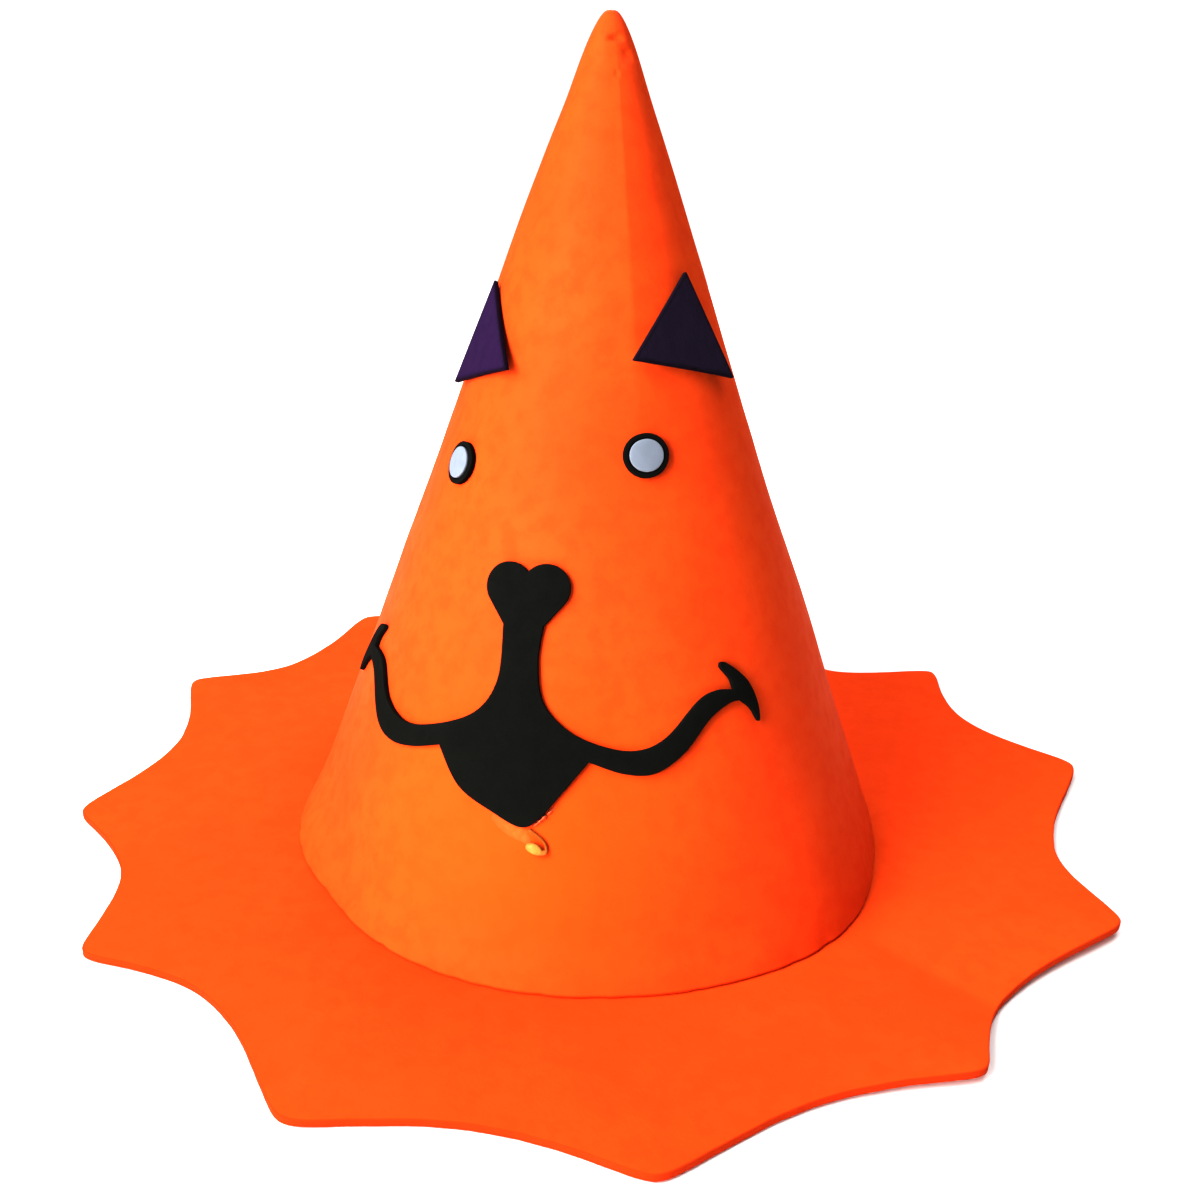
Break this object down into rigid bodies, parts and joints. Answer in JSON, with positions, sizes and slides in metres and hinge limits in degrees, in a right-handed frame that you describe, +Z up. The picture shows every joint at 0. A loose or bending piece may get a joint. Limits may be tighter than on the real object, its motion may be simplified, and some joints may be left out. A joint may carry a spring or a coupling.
{
  "type": "pumpkin hat",
  "caption": "Pointed orange felt cone hat with a flat brim cut into points and a glued felt animal face; worn on the head, or stood on its brim.",
  "frame": {"origin": "middle of the brim's bounding box, on its underside", "axes": "+Z up along the crown, the face looks along -Y, +X to the right of someone who looks at the face"},
  "size_m": [0.3385, 0.3362, 0.2442],
  "materials": {
    "felt_orange": "matte felt",
    "felt_purple": "matte felt",
    "felt_navy": "matte felt",
    "felt_black": "matte felt",
    "felt_pale": "smooth pale felt",
    "light_resin": "clear warm resin"
  },
  "bodies": {
    "root": {"crown": "felt_orange", "brim": "felt_orange", "ear_left": "felt_purple", "ear_right": "felt_navy", "eye_disc_left": "felt_black", "eye_disc_right": "felt_black", "eye_white_left": "felt_pale", "eye_white_right": "felt_pale", "muzzle": "felt_black", "light": "light_resin"}
  },
  "joints": []
}
